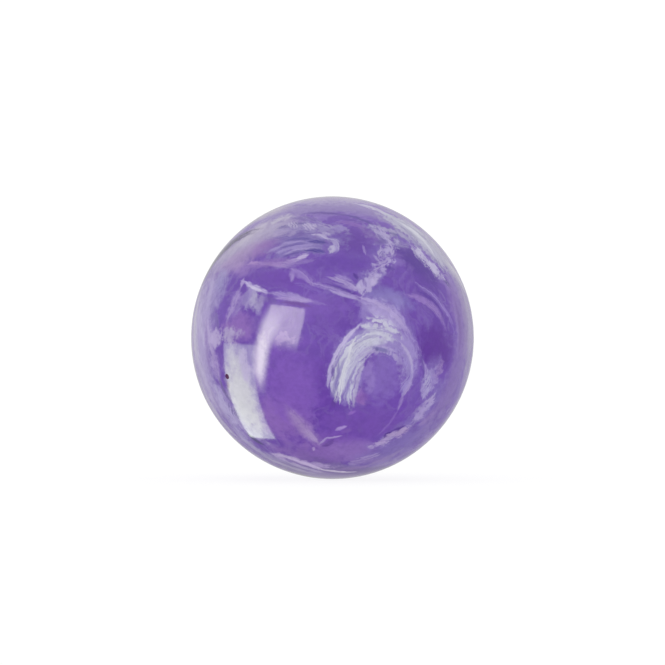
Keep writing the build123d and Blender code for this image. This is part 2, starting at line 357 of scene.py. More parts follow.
def paint_clouds_and_top_sheen(m):
    """Slow changes of hue in the violet on the front, and a painted grey sheen on the crown that stands in
    for the room mirrored along the top edge.
    """
    m.haze((-18, -16), (17, 20), (130, 95, 185))
    m.haze((-2, -18), (7, 15), (112, 78, 168), 0.7)
    m.haze((-24, -34), (16, 14), (147, 113, 187), 0.85)
    m.haze((-17, -23), (13, 18), (135, 100, 188))
    m.haze((-2, -46), (14, 7), (136, 102, 182), 0.7)
    m.haze((-8, 13), (15, 5), (134, 102, 188))
    m.haze((-44, 29), (9, 5), (152, 124, 190), 0.8, 10)
    m.haze((-30, 45), (9, 4), (148, 134, 188), 0.85, 10)
    m.haze((-72, 60), (20, 7), (178, 168, 192), 0.85, 30, fibres=0.4)
    m.haze((-8, -54), (26, 10), (146, 114, 184), 0.75)
    m.haze((14, -51), (13, 9), (148, 118, 190), fibres=0.3)
    m.haze((4, -36), (9, 7), (126, 94, 180), 0.7)
    m.haze((22, -36), (16, 9), (122, 90, 176), 0.8, -20)
    m.haze((46, -4), (12, 15), (103, 68, 156), 0.95, 70)
    m.haze((10, 42), (12, 9), (106, 74, 162), 0.9, -20)
    m.haze((5, 31), (17, 5), (110, 78, 170), 0.85)
    m.haze((43, 31), (17, 8), (94, 68, 152), 0.95, -55)
    m.haze((45, 16), (16, 7), (106, 76, 164), 0.8, -60)
    m.haze((-25, 24), (18, 5), (117, 82, 174), 0.85, -8)
    m.haze((-2, 10), (12, 9), (124, 92, 180), 0.7)
    m.haze((46, -46), (24, 12), (132, 114, 182), 0.85, 42)
    m.haze((62, -18), (30, 9), (138, 116, 180), 0.8, 78)
    m.haze((-40, 4), (11, 8), (146, 112, 186), 0.9)
    m.haze((23, 16), (15, 6), (132, 118, 186), 0.9, -18)
    m.haze((21, -16), (10, 13), (138, 114, 190), 0.85)
    m.haze((-16, 45), (22, 10), (134, 120, 178), 0.75, 5)
    m.haze((0, 66), (50, 8), (140, 122, 180), 0.9)
    # Painted reflection: a pale grey cap on the crown lightens the top edge, as the mirrored room would.
    m.haze((0, 90), (25, 25), (202, 199, 210), 0.95, soft=1.5, fibres=0.3)
    m.haze((-52, 44), (30, 11), (174, 164, 194), 0.95, 38, fibres=0.3)
    m.haze((-50, 34), (20, 7), (164, 142, 188), 0.8, 34, fibres=0.4)
    m.haze((-36, 38), (9, 6), (146, 112, 180), 0.7, 30)
    m.haze((-70, -4), (40, 15), (166, 152, 200), 0.9, 90, fibres=0.3)
    m.haze((-60, 18), (14, 9), (152, 140, 192), 0.7, 70)
    m.haze((-54, -32), (20, 10), (166, 152, 202), 0.85, -60)
    m.haze((9, -38), (17, 11), (124, 90, 178), 0.6)
    m.haze((60, 14), (5, 10), (140, 112, 182), 0.5)


def paint_horseshoe(m):
    """The arch right of the middle: brushed strands down a thick left leg, and a thin right leg."""
    m.haze((17, -1), (12, 6.5), (160, 146, 200), 0.9, -6)
    m.arc((18, -14), 72, (14.5, 15), 95, 4.6, (158, 142, 201), 0.9, strands=2.5, slant=2.0)
    m.streak((11, 3), (5.4, -27), 5.4, (158, 144, 203), 0.9, via=(5.6, -12), strands=3.0, blunt=4.0)
    m.haze((16, -1.6), (7, 2.4), (196, 194, 216), 0.75, 2, fibres=0.5)
    m.streak((20, 3), (1.4, -25), 2.6, WHITE, 0.9, via=(6.4, -6), fibres=0.55, strands=3.0, blunt=5.0)
    m.streak((20, 0), (7.6, -28), 2.4, (200, 199, 220), 0.9, via=(9.4, -9), fibres=0.7, strands=3.2,
             blunt=5.0)
    m.streak((12, 4.6), (28, 0.5), 3.6, (202, 201, 219), 0.85, 0.8, fibres=0.7)
    m.streak((8, 0), (22, 2.6), 0.7, (150, 140, 190), 0.6, 1.6, fibres=0.7)
    m.streak((7, -5), (19, 0.6), 0.6, (144, 132, 186), 0.65, 1.8, fibres=0.7)
    m.streak((9, 0), (3.2, -26), 0.9, (214, 214, 226), 0.9, via=(4.4, -13), blunt=5.0)
    m.streak((12.5, -8), (9.4, -27.5), 0.9, (186, 178, 212), via=(10, -18), blunt=4.0)
    m.streak((10, -9), (5.6, -26), 0.5, (136, 120, 186), 0.7, via=(6.8, -18), fibres=0.4)
    m.streak((6, -6), (1.4, -22), 0.6, (142, 130, 190), 0.75, via=(2.6, -14))
    m.streak((7, -15), (3.4, -27), 0.5, (132, 112, 184), 0.7, fibres=0.4)
    m.streak((11.5, 5.2), (-1.8, -14), 0.7, (200, 190, 226), 0.95, via=(3, -3.4), fibres=0.3, blunt=4.0)
    m.streak((2.4, -8), (0.4, -24), 0.7, (128, 114, 178), 0.7, 0.3, fibres=0.7)
    m.streak((-0.6, -9), (-1.8, -20), 0.6, (186, 174, 218), 0.9, fibres=0.3)
    m.streak((0.4, -11), (0.2, -17), 0.55, (110, 90, 160), 0.7, fibres=0.4)
    m.arc((18.5, -15), 84, (10.5, 11.2), 62, 1.5, (178, 166, 210), fibres=0.5)
    m.haze((30.6, -12), (11, 4), (146, 126, 192), 0.8, -80, fibres=1.0)
    m.streak((24, 2), (34.2, -12), 2.6, (160, 144, 202), 0.85, 2.6, fibres=0.8, strands=2.2, slant=2.0)
    m.streak((24, -2), (33.6, -17), 2.0, (158, 144, 200), 0.8, 2.4, fibres=1.2, strands=1.8, slant=3.0)
    m.streak((27, -1), (34.6, -16), 0.7, (184, 172, 214), 0.85, 1.8)
    m.streak((34.2, -16), (31.2, -24), 0.9, (176, 160, 210), 0.85, 0.6, fibres=0.4)
    m.streak((31.6, -22), (31.5, -30), 0.7, (162, 140, 202), fibres=0.4)
    m.streak((31.5, -29), (25, -42), 0.55, (142, 112, 190), 0.7, 0.6, fibres=0.4)
    m.streak((30.5, -8), (32, -23), 2.2, (160, 146, 204), 0.8, 0.8, fibres=1.3, strands=1.8, slant=3.0)
    m.haze((19, -4.6), (4.6, 1.2), (126, 118, 174), 0.85, -14)
    m.streak((16.8, -4.4), (18.4, -4.8), 0.8, (112, 104, 160))
    for place in range(5):
        m.streak((18.6 + 1.5 * place, -5), (18.4 + 1.5 * place, -9), 0.36, (130, 114, 184), 0.6)
    m.haze((15, -14), (10, 3), (152, 130, 198), 0.7, 94, fibres=1.0)
    m.streak((12, -20), (14.6, -27.5), 1.6, (164, 128, 192), 0.6, -1.2, fibres=0.4)
    m.haze((13, -24), (3.5, 2.6), (138, 100, 180), 0.5)
    m.haze((8.6, -31), (2.2, 1.0), (154, 118, 200), 0.8, 30)
    m.streak((0.5, -25), (0.8, -29), 0.8, (104, 80, 150), 0.5)


def paint_ring(m):
    """The mottled streak that follows the horseshoe round on its right and below it."""
    m.haze((45, -15), (11, 6), (138, 118, 186), 0.85, 80)
    m.haze((49, -27), (13, 6), (136, 118, 186), 0.8, 70)
    m.haze((40, -38), (13, 5), (138, 120, 188), 0.75, 45)
    m.streak((31, 4), (38.4, -9.5), 0.9, (154, 134, 198), 0.85, 0.8)
    m.streak((38, -8), (42.4, -17), 0.9, (166, 148, 206), 0.85, 0.5)
    m.streak((36, -4), (40.4, -16), 0.7, (104, 78, 160), 0.75, 0.7)
    m.haze((45.5, -16), (6.6, 4), (158, 142, 200), 0.8, 84, fibres=2.2)
    m.haze((49, -13), (4.4, 3), (156, 132, 192), 0.75, 60, fibres=1.6)
    m.streak((42.2, -13), (43.4, -24), 1.7, (176, 168, 210), 0.9, 0.5, fibres=1.1, strands=1.6, slant=3.0)
    m.streak((40.6, -18), (45.6, -24.4), 1.3, (166, 152, 206), 0.85, -0.5, fibres=0.9)
    m.haze((48.6, -25.6), (4, 3.2), (178, 160, 208), 0.85, 80, fibres=1.8)
    m.streak((49.4, -22), (47, -31.6), 2.0, (172, 160, 208), 0.9, 0.8, fibres=1.1, strands=1.6, slant=3.0)
    m.streak((48, -29.6), (43.6, -35.6), 1.9, (164, 148, 200), 0.9, 0.6, fibres=1.0, strands=1.8, slant=3.0)
    m.haze((45, -32), (5, 2.6), (174, 160, 208), 0.8, 60, fibres=2.2)
    m.streak((44.8, -34.6), (42.6, -40), 1.3, (150, 134, 192), fibres=0.8)
    m.streak((43.4, -38.4), (33, -43.4), 2.1, (182, 162, 208), 0.9, 0.6, fibres=0.8, strands=1.8, slant=3.0)
    m.streak((36, -42), (26, -48.4), 2.2, (174, 158, 206), 0.9, fibres=0.9, strands=1.8, slant=3.0)
    m.haze((28, -47.6), (4.4, 2), (178, 162, 208), 0.8, 30, fibres=1.8)
    m.streak((39.6, -37.6), (30, -41.4), 1.3, (98, 70, 152), 0.9, 0.5)
    m.streak((31.6, -40.6), (29.6, -44), 1.2, (88, 60, 140), 0.85, fibres=0.4)
    m.streak((36, -14), (38.6, -30), 1.6, (122, 96, 176), 0.6, 0.5, fibres=0.6)
    m.streak((46, -37), (34, -47), 0.9, (112, 84, 166), 0.6, -0.5, fibres=0.6)
    m.haze((53, -34), (6, 3), (150, 128, 188), 0.75, 50)
    m.haze((46, -30), (7, 3), (166, 150, 204), 0.7, 70, fibres=1.6)
    m.haze((43, -30.6), (7, 2.4), (160, 144, 198), 0.75, 58, soft=1.4, fibres=1.2)
    m.haze((37.6, -41.2), (6.4, 2.2), (176, 156, 202), 0.8, 29, fibres=1.4)
    m.haze((29.4, -46), (4.4, 2.0), (176, 156, 204), 0.75, 25, fibres=1.4)


def paint_ridge(m):
    """The ridge that runs down to the right over the arch, and the pale shoulder below it."""
    m.haze((22, 9), (12, 5), (154, 137, 197), 0.95, -32)
    m.streak((11, 14.6), (33.6, -3), 3.4, (163, 147, 203), 0.85, via=(23, 9), fibres=0.6, strands=2.6)
    m.streak((10, 16.4), (33, 1), 1.0, (174, 158, 208), 0.75, via=(22, 11), fibres=0.6)
    m.streak((13, 11), (29, 3), 0.9, (172, 158, 207), 0.6, via=(21, 8), fibres=0.7)
    m.streak((13, 13), (13.6, 5.6), 2.0, (142, 124, 190), 0.7, fibres=0.6)
    m.streak((30, 9), (35, -2), 1.4, (130, 108, 182), 0.7, 0.6)
    m.streak((-17.4, 22.4), (-18, 28.6), 0.9, (166, 146, 205), 0.85, fibres=0.4)
    m.streak((-18.4, 28.4), (-7.6, 20.8), 1.1, (164, 143, 203), 0.85, 0.3, fibres=0.6)
    m.streak((-9, 21.6), (12, 14.8), 0.9, (170, 152, 207), 0.85, via=(3, 18.6), fibres=1.0,
             strands=3.0, slant=2.0)
    m.streak((-2, 19), (12, 14.6), 0.6, (180, 166, 213), 0.7, fibres=0.4)
    m.streak((-3, 21.8), (10, 17.2), 0.6, (94, 70, 152), 0.7)
    m.haze((-15, 25.6), (5.4, 1.8), (144, 118, 192), 0.75, -34)
    m.streak((-16, 21.6), (-4, 18.2), 0.9, (134, 108, 188), 0.6, fibres=0.6)


def paint_web(m):
    """The cracked web of veins from the crown down to the ridge."""
    m.haze((31, 46), (11, 6), (142, 130, 181), 0.9, -30, fibres=1.6)
    m.haze((42, 46), (9, 4.6), (134, 124, 172), 0.85, -24, fibres=1.4)
    m.haze((28, 38), (8, 5), (146, 132, 188), 0.9, 70, fibres=1.6)
    m.haze((17, 24), (10, 5), (148, 134, 192), 0.9, 44, fibres=1.6)
    m.haze((6, 22), (7, 2.2), (142, 122, 187), 0.8, -22, fibres=1.2)
    m.haze((32, 31), (4, 2.6), (136, 112, 186), 0.7, fibres=1.2)
    m.haze((31, 45), (7, 4), (168, 157, 201), 0.9, -50, fibres=2.6)
    m.haze((38, 47), (7, 3), (160, 150, 192), 0.85, -20, fibres=2.6)
    m.haze((28, 37.6), (7, 4), (172, 160, 206), 0.9, 72, fibres=2.6)
    m.haze((22, 29.6), (6, 3), (172, 159, 206), 0.85, 50, fibres=2.6)
    m.haze((15.4, 22), (6.4, 3.6), (176, 163, 209), 0.92, 54, fibres=2.4)
    m.haze((27.4, 41), (3.4, 2), (104, 84, 158), 0.75, fibres=2.0)
    m.streak((28, 50.5), (31, 41), 1.2, (172, 160, 204), 0.8, 1.2, fibres=1.0, strands=1.6, slant=3.0)
    m.streak((44, 48), (33, 43), 1.0, (164, 154, 194), 0.75, -0.8, fibres=1.0, slant=3.0)
    m.streak((46, 40.6), (34, 40.4), 1.1, (150, 139, 186), 0.7, 1.0, fibres=1.0, slant=3.0)
    m.streak((34, 46.6), (41, 44.4), 0.8, (98, 86, 150), 0.7, fibres=0.8)
    m.streak((26, 46), (29, 42), 0.8, (102, 84, 154), 0.7, fibres=0.8)
    m.streak((31.6, 42.6), (29.6, 33.6), 1.2, (178, 166, 208), 0.85, 0.8, fibres=0.9, strands=1.6)
    m.streak((26, 39.6), (23, 33.6), 0.8, (176, 163, 207), fibres=0.7)
    m.streak((30, 35), (18, 27.6), 1.4, (172, 158, 206), 0.85, 0.3, fibres=1.0, slant=2.0)
    m.streak((20, 35), (22, 31), 0.6, (170, 156, 205), 0.7, 0.4, fibres=0.4)
    m.streak((25.5, 36.4), (24.6, 33.4), 0.8, (104, 84, 158), 0.7, fibres=0.8)
    m.streak((24, 29.4), (29, 27.6), 0.8, (98, 78, 154), 0.75, fibres=0.6)
    m.streak((20.6, 29.4), (13, 17), 1.5, (176, 162, 210), 0.85, -0.4, fibres=1.1, slant=3.0)
    m.streak((18.4, 25.6), (16.6, 20), 0.9, (186, 174, 214), 0.8, 0.5, fibres=0.8)
    m.streak((10.8, 21.4), (13, 16.8), 1.1, (188, 178, 217), 0.9, fibres=0.6)
    m.streak((9.4, 26.6), (11, 23.4), 0.7, (88, 64, 146))
    m.streak((13.4, 24), (14.4, 20), 0.6, (120, 98, 170), 0.7, fibres=0.6)
    m.streak((12.4, 19), (7, 20.4), 0.8, (174, 158, 208), fibres=0.8)
    m.streak((-2, 24.6), (12, 18.4), 0.8, (176, 160, 208), via=(4.6, 22.6), fibres=0.8)
    m.streak((1, 26), (9, 22.8), 0.6, (164, 145, 203), 0.7, fibres=0.8)
    m.streak((-1, 22.8), (10, 18.6), 0.5, (158, 138, 198), 0.7, fibres=0.7)
    m.streak((16.2, 39.6), (16.6, 34.8), 0.5, (158, 138, 200), 0.85)
    m.haze((21, 46), (7, 3), (122, 92, 170), 0.6, -50)


def paint_brushed_plume(m):
    """The plume at the upper left, with its hooked end, and the thread below it."""
    m.haze((-16, 39.6), (19, 7), (134, 119, 181), 0.9, 9, fibres=1.0)
    m.haze((-14, 49.5), (18, 4.6), (150, 138, 187), 0.85, -2, fibres=1.2)
    m.streak((-36, 49), (-18, 52.8), 1.2, (108, 94, 157), fibres=0.7, slant=3.0)
    m.streak((-32, 55.6), (-10, 54), 1.2, (118, 100, 165), 0.75, 0.6, fibres=0.7, slant=3.0)
    m.streak((-33, 52.6), (-22, 50.4), 1.3, (176, 166, 201), 0.85, fibres=0.7, slant=3.0)
    m.streak((-19, 51.4), (-10, 49.4), 1.5, (182, 171, 207), 0.85, fibres=0.7, slant=3.0)
    m.streak((-9, 51.6), (5, 50), 1.0, (162, 150, 195), 0.8, -0.4, fibres=0.8, slant=3.0)
    m.streak((-34, 43), (-12, 46.6), 1.8, (110, 90, 163), 0.65, fibres=0.7, strands=3.0)
    m.streak((-12, 45.4), (-2, 42.4), 1.0, (188, 178, 214), 0.9, 0.9)
    m.streak((-7, 46.6), (-1, 44.6), 0.8, (182, 172, 210), 0.75, 0.4, fibres=0.6)
    m.streak((-33, 36), (-15, 42), 1.2, (160, 145, 200), 0.85, 0.6, fibres=0.7, slant=3.0)
    m.streak((-29, 35), (-8, 40), 1.1, (158, 143, 199), 0.85, 0.8, fibres=0.7, slant=3.0)
    m.streak((-24, 34.6), (-6, 37.8), 0.9, (170, 156, 206), 0.8, 0.7, fibres=0.6)
    m.streak((-26, 41.4), (-11, 42.8), 0.9, (102, 87, 160), 0.85, 0.6)
    m.streak((-28, 37.6), (-14, 40.4), 0.7, (106, 90, 162), 0.8, 0.4)
    m.streak((-13, 41.4), (-2.4, 40.6), 1.0, (84, 72, 149), 0.9, 0.5, fibres=0.4)
    m.streak((-14, 36.6), (-3.6, 35.8), 1.0, (86, 72, 150), 0.9, 0.5, fibres=0.4)
    m.streak((-24, 33.6), (-14, 36.8), 0.7, (100, 82, 158), 0.75)
    m.arc((-6.6, 39.4), 2, (6.6, 4.6), 62, 1.1, (178, 168, 208), 0.85, slant=2.0)
    m.haze((-0.6, 37.4), (2.2, 2.6), (184, 176, 211), 0.9, fibres=1.2)
    m.haze((-1, 37.4), (0.9, 0.8), (140, 126, 186), 0.6)
    m.streak((0.6, 42.4), (1.8, 35.6), 0.9, (162, 150, 200), 0.7, 0.8, fibres=0.6)
    m.haze((4, 49), (3.6, 2.2), (146, 130, 190), 0.75, fibres=2.0)
    m.streak((-30, 30), (-12, 34.6), 1.3, (176, 159, 207), 0.85, via=(-20, 31), fibres=0.6, slant=3.0)
    m.streak((-17, 32.6), (-12, 34.6), 1.0, (194, 180, 219), 0.85)
    m.streak((-44, 30.4), (-20, 28.6), 0.8, (168, 142, 200), 0.85, 0.8, slant=3.0)
    m.haze((-39, 31), (3.2, 1.2), (182, 152, 206), 0.7)
    m.streak((-26, 28.6), (-8, 32.4), 0.9, (150, 128, 193), 0.7, -0.3, fibres=0.7, slant=3.0)
    m.haze((-30, 31), (14, 2.6), (148, 118, 186), 0.6, 4)
    m.streak((-24, 59.4), (14, 57.2), 0.9, (102, 78, 158), 0.9, 0.2, fibres=0.4)
    m.streak((10, 58), (27, 51), 1.0, (98, 78, 156), 0.85, 0.6, fibres=0.4)
    m.streak((2, 55.6), (22, 52.2), 0.7, (106, 80, 161), 0.65, 0.3)
    m.streak((2, 53.4), (20, 49), 1.2, (138, 105, 180), 0.7, 0.6, fibres=0.4)
    m.haze((2.6, 44.6), (6, 1.9), (108, 78, 168), 0.75, soft=1.4)
    m.haze((-29, 46), (6, 2.4), (166, 152, 194), 0.5, 10, fibres=1.4)


def paint_hook(m):
    """The hooked vein on the left, its shadow, and the loop that falls from its end."""
    m.haze((-36, 15.6), (6, 6.4), (164, 150, 200), 0.85, fibres=1.2)
    m.haze((-44, 13), (7, 4), (148, 124, 192), 0.8, 66, fibres=1.2)
    m.haze((-22, 17), (8, 1.8), (140, 117, 191), 0.7, -8)
    m.streak((-42.6, 23), (-27.4, 17.8), 0.8, (194, 182, 223), 0.95, via=(-35.4, 20.6), fibres=0.6)
    m.streak((-38, 21), (-31, 18.6), 0.5, (208, 200, 230), 0.85, fibres=0.4)
    m.streak((-42.6, 20), (-42, 24.4), 0.7, (186, 168, 218), fibres=0.4)
    m.streak((-28.4, 17.6), (-9.6, 15), 0.9, (166, 148, 205), 0.85, via=(-18, 16.9), slant=3.0)
    m.streak((-17, 16.4), (-9, 14.2), 0.9, (176, 158, 212), 0.85, fibres=0.4)
    m.streak((-12, 14.2), (-2.6, 13), 0.6, (148, 124, 196), 0.8, 0.3)
    m.streak((-21, 14), (-8.6, 12.2), 1.1, (120, 90, 160), 0.8, 0.4, fibres=0.4)
    m.streak((-30, 16), (-23, 14.4), 1.2, (118, 94, 168), 0.7)
    m.streak((-42.4, 21), (-47.4, 6), 1.6, (170, 151, 206), 0.85, 0.3, fibres=0.6, strands=1.6)
    m.streak((-39.6, 18), (-43, 9), 1.2, (152, 132, 194), 0.75, 0.3, fibres=0.6)
    m.haze((-33.4, 14), (3.0, 5.6), (176, 168, 204), fibres=1.0)
    m.haze((-31, 14.4), (2.4, 3.8), (176, 166, 204), 0.7)
    m.haze((-15, 15.6), (6, 1.6), (160, 142, 202), 0.7, -10)
    m.haze((-38.6, 16), (1.8, 3.4), (134, 116, 180), 0.6, fibres=0.8)
    m.haze((-44, 3), (9, 3.6), (143, 110, 184), fibres=1.0)
    m.haze((-31.4, 12.6), (2.6, 4.8), (156, 142, 194), 0.7, soft=1.4)
    m.haze((-42, 1.4), (6, 3), (158, 140, 190), 0.6, soft=1.4, fibres=1.0)
    m.streak((-23.8, 15.8), (-8.5, 14.2), 0.8, (178, 158, 212), slant=2.0)


def paint_left_side(m):
    """Pale bands and thin bright arcs towards the left edge, a pale patch along the lower window's
    reflection that is partly painted reflection, and a painted reflection of something dark along the upper
    left edge.
    """
    m.haze((-66, 2), (26, 13), (170, 156, 204), 0.85, 86, fibres=0.4)
    m.haze((-54, 0), (7, 4.6), (184, 169, 211), 0.9, fibres=1.0)
    m.haze((-46, 1), (8, 4), (168, 150, 200), 0.85, fibres=1.4)
    m.haze((-46, 1), (7, 3.2), (184, 175, 208), 0.65, fibres=1.2)
    # Partly painted reflection: this pale grey band lies along the lower window's reflection and widens it,
    # over the resin's own pale patches.
    m.haze((-43, -23), (25, 9.6), (180, 174, 194), 0.92, 88, fibres=0.4)
    m.haze((-38, -11), (8, 3.4), (158, 138, 194), 0.85, 90, fibres=0.8)
    m.haze((-18, -1), (5, 3.4), (158, 132, 196), 0.7, fibres=2.0)
    m.haze((-30, -8), (12, 5), (164, 148, 196), 0.7, 80, fibres=0.5)
    m.streak((-72, 14), (-62, -4), 1.8, (188, 177, 215), 0.75, -1.0, fibres=0.4, soft=1.8, strands=1.0)
    m.streak((-78, 20), (-70, -14), 2.4, (194, 188, 210), 0.75, -1.4, fibres=0.4, soft=1.8, strands=1.0)
    m.streak((-63, 8), (-57, -6), 2.0, (182, 166, 211), 0.75, fibres=0.6, soft=1.6, strands=1.2)
    m.streak((-55.5, 10), (-52, 3), 1.1, (122, 104, 168), soft=1.6)
    m.streak((-60, 16), (-56, 6), 1.2, (136, 119, 180), 0.7, fibres=0.6, soft=1.8)
    m.streak((-62, 6), (-60.4, -16), 1.3, (144, 122, 184), 0.75, soft=1.8, strands=1.2)
    m.streak((-57, -2), (-55, -18), 2.4, (176, 158, 206), 0.75, fibres=0.6, soft=1.6, strands=1.2)
    m.streak((-70, -6), (-62, -34), 3.0, (182, 170, 210), 0.75, -1.6, fibres=0.4, soft=1.8, strands=1.0)
    m.streak((-60, -18), (-53, -40), 3.0, (180, 170, 212), 0.85, -1.0, soft=1.6, strands=1.2)
    m.streak((-54.6, -16), (-51.6, -27), 0.8, (112, 98, 150), 0.85, -0.3, fibres=0.6)
    m.streak((-54.4, -27), (-50.6, -34), 1.6, (126, 114, 166), fibres=1.2, strands=1.6, slant=3.0)
    m.streak((-66, -22), (-59, -40), 1.2, (140, 122, 180), 0.65, -1.2, fibres=0.4, soft=1.8)
    m.streak((-76, -18), (-66, -46), 2.2, (186, 178, 208), 0.75, -2.2, fibres=0.4, soft=1.8, strands=1.0)
    m.streak((-52.6, -41.6), (-45, -48.4), 1.3, (84, 76, 124), 0.9, -0.6, fibres=0.3)
    m.streak((-64, -40), (-50, -57), 2.0, (176, 166, 204), 0.75, -1.2, fibres=0.4, soft=1.8, strands=1.0)
    m.streak((-62, 28), (-53, 18), 2.2, (156, 148, 198), 0.7, fibres=0.8, soft=1.8, strands=1.2)
    m.streak((-66, 24), (-62, 11), 2.0, (172, 160, 204), 0.7, fibres=0.7, soft=1.8, strands=1.2)
    m.streak((-46, 53), (-32, 59), 2.4, (190, 184, 204), 0.7, fibres=0.6, soft=1.8, strands=1.4)
    m.streak((-46, 46), (-33, 53), 1.8, (168, 158, 194), 0.7, fibres=0.6, soft=1.8, strands=1.4)
    m.streak((-60, 40), (-48, 54), 3.0, (188, 180, 203), 0.75, soft=1.8, strands=1.2)
    # Painted reflection: this dark streak, and the one below the speck's haze, stand in for something dark
    # mirrored in the polish along the upper left edge.
    m.streak((-88, 16), (-55, 48.4), 3.4, (78, 58, 116), 0.9, via=(-76, 37.6), soft=1.6)
    m.haze((-49.4, -18.4), (1.0, 2.4), (120, 78, 130), soft=1.6)
    # Painted reflection of something dark, like the streak two lines above.
    m.streak((-84, 20), (-57, 48.6), 2.6, (56, 40, 96), 0.9, via=(-75.4, 37.6), fibres=0.4, soft=1.4)
    m.haze((-29.6, 15.4), (3.2, 2.6), (148, 130, 188), 0.7, soft=1.4)
    m.haze((-44, 0.8), (6, 2.6), (166, 148, 196), 0.65, soft=1.6)
    m.streak((-62, -36), (-57.8, -49), 2.4, (174, 164, 208), 0.75, soft=1.8, strands=1.0)


def paint_right_side(m):
    """The white bands round the crown and down the right edge, and the two thin veins."""
    m.haze((64, 42), (26, 11), (166, 161, 187), 0.95, -58)
    m.haze((50, 42), (8, 3.4), (146, 138, 182), 0.8, -50, fibres=1.2)
    m.haze((57, 48), (14, 7), (178, 176, 199), 0.95, -60, fibres=0.8)
    m.streak((27, 69.4), (50, 59), 1.6, (194, 188, 215), 0.9, 0.8, fibres=0.4, slant=3.0)
    m.streak((44, 62), (62, 27), 4.6, (182, 180, 203), 0.95, via=(57, 46.6), fibres=0.7, strands=2.2,
             slant=2.0)
    m.streak((50, 57), (66, 30), 1.0, (142, 136, 174), 0.7, 2.6, fibres=0.8)
    m.streak((46, 57), (59, 38), 0.9, (150, 143, 182), 0.7, 0.6, fibres=0.8)
    m.streak((52, 54), (60, 36), 1.6, (208, 208, 222), 0.85, 1.4, fibres=0.6)
    m.streak((62, 42), (72, 24), 3.0, (172, 168, 194), 0.85, 0.8, fibres=0.7)
    m.streak((48, 52), (55, 42), 1.0, (132, 124, 170), 0.7, fibres=0.8)
    m.streak((56, 38), (62, 27), 1.0, (140, 131, 174), 0.7, fibres=0.7)
    m.streak((44.6, 40.4), (58, 23), 2.0, (188, 181, 213), 0.85, via=(49.6, 32.6), fibres=1.2,
             strands=1.6, slant=3.0)
    m.haze((48, 36.4), (4, 2.2), (192, 186, 216), 0.8, -55, fibres=2.0)
    m.haze((54, 28.6), (5, 2.2), (188, 180, 214), 0.8, -55, fibres=2.2)
    m.streak((57.4, 23), (62.4, 20.6), 0.9, (84, 66, 140), 0.85)
    m.streak((70, 33), (79, 18), 2.4, (204, 202, 214), 0.85, 0.4)
    m.haze((74, 6), (30, 8), (146, 132, 178), 0.9, -86)
    m.haze((64, 8), (22, 5), (136, 112, 178), 0.8, -86)
    m.streak((67, 26), (67, -10), 2.2, (142, 122, 178), 0.75, 2.0, fibres=0.4, soft=1.8, strands=1.0)
    m.streak((74, 20), (72, -16), 2.2, (160, 148, 188), 0.7, 1.6, fibres=0.4, soft=1.8, strands=1.0)
    m.streak((62, 16), (62, -6), 1.3, (122, 94, 166), 0.7, 1.0, fibres=0.4, soft=1.6)
    m.streak((59.6, 14), (60.6, -4), 0.8, (150, 130, 188), 0.5, 0.6, soft=1.8)
    m.streak((38.4, 21.8), (56.6, 4.6), 1.0, (154, 132, 201), 0.9, via=(46, 17), fibres=0.6, soft=1.8)
    m.streak((33, 16.8), (51.4, 4), 1.3, (156, 130, 196), 0.9, via=(41.4, 14.4), fibres=0.6, soft=1.8)
    m.haze((39, 15.6), (6, 1.8), (148, 120, 192), 0.85, -20)
    m.streak((50, 13), (57.6, 5), 0.7, (150, 126, 199), 0.75, 0.5)
    m.streak((38, 18.8), (50, 10.4), 0.8, (96, 70, 156), 0.6, 1.2)
    m.haze((45, 45), (6, 2.6), (164, 154, 194), 0.55, -50, fibres=1.6)
    m.streak((53, 66), (68, 54), 1.9, (152, 144, 178), 0.6, soft=1.8, strands=1.2)


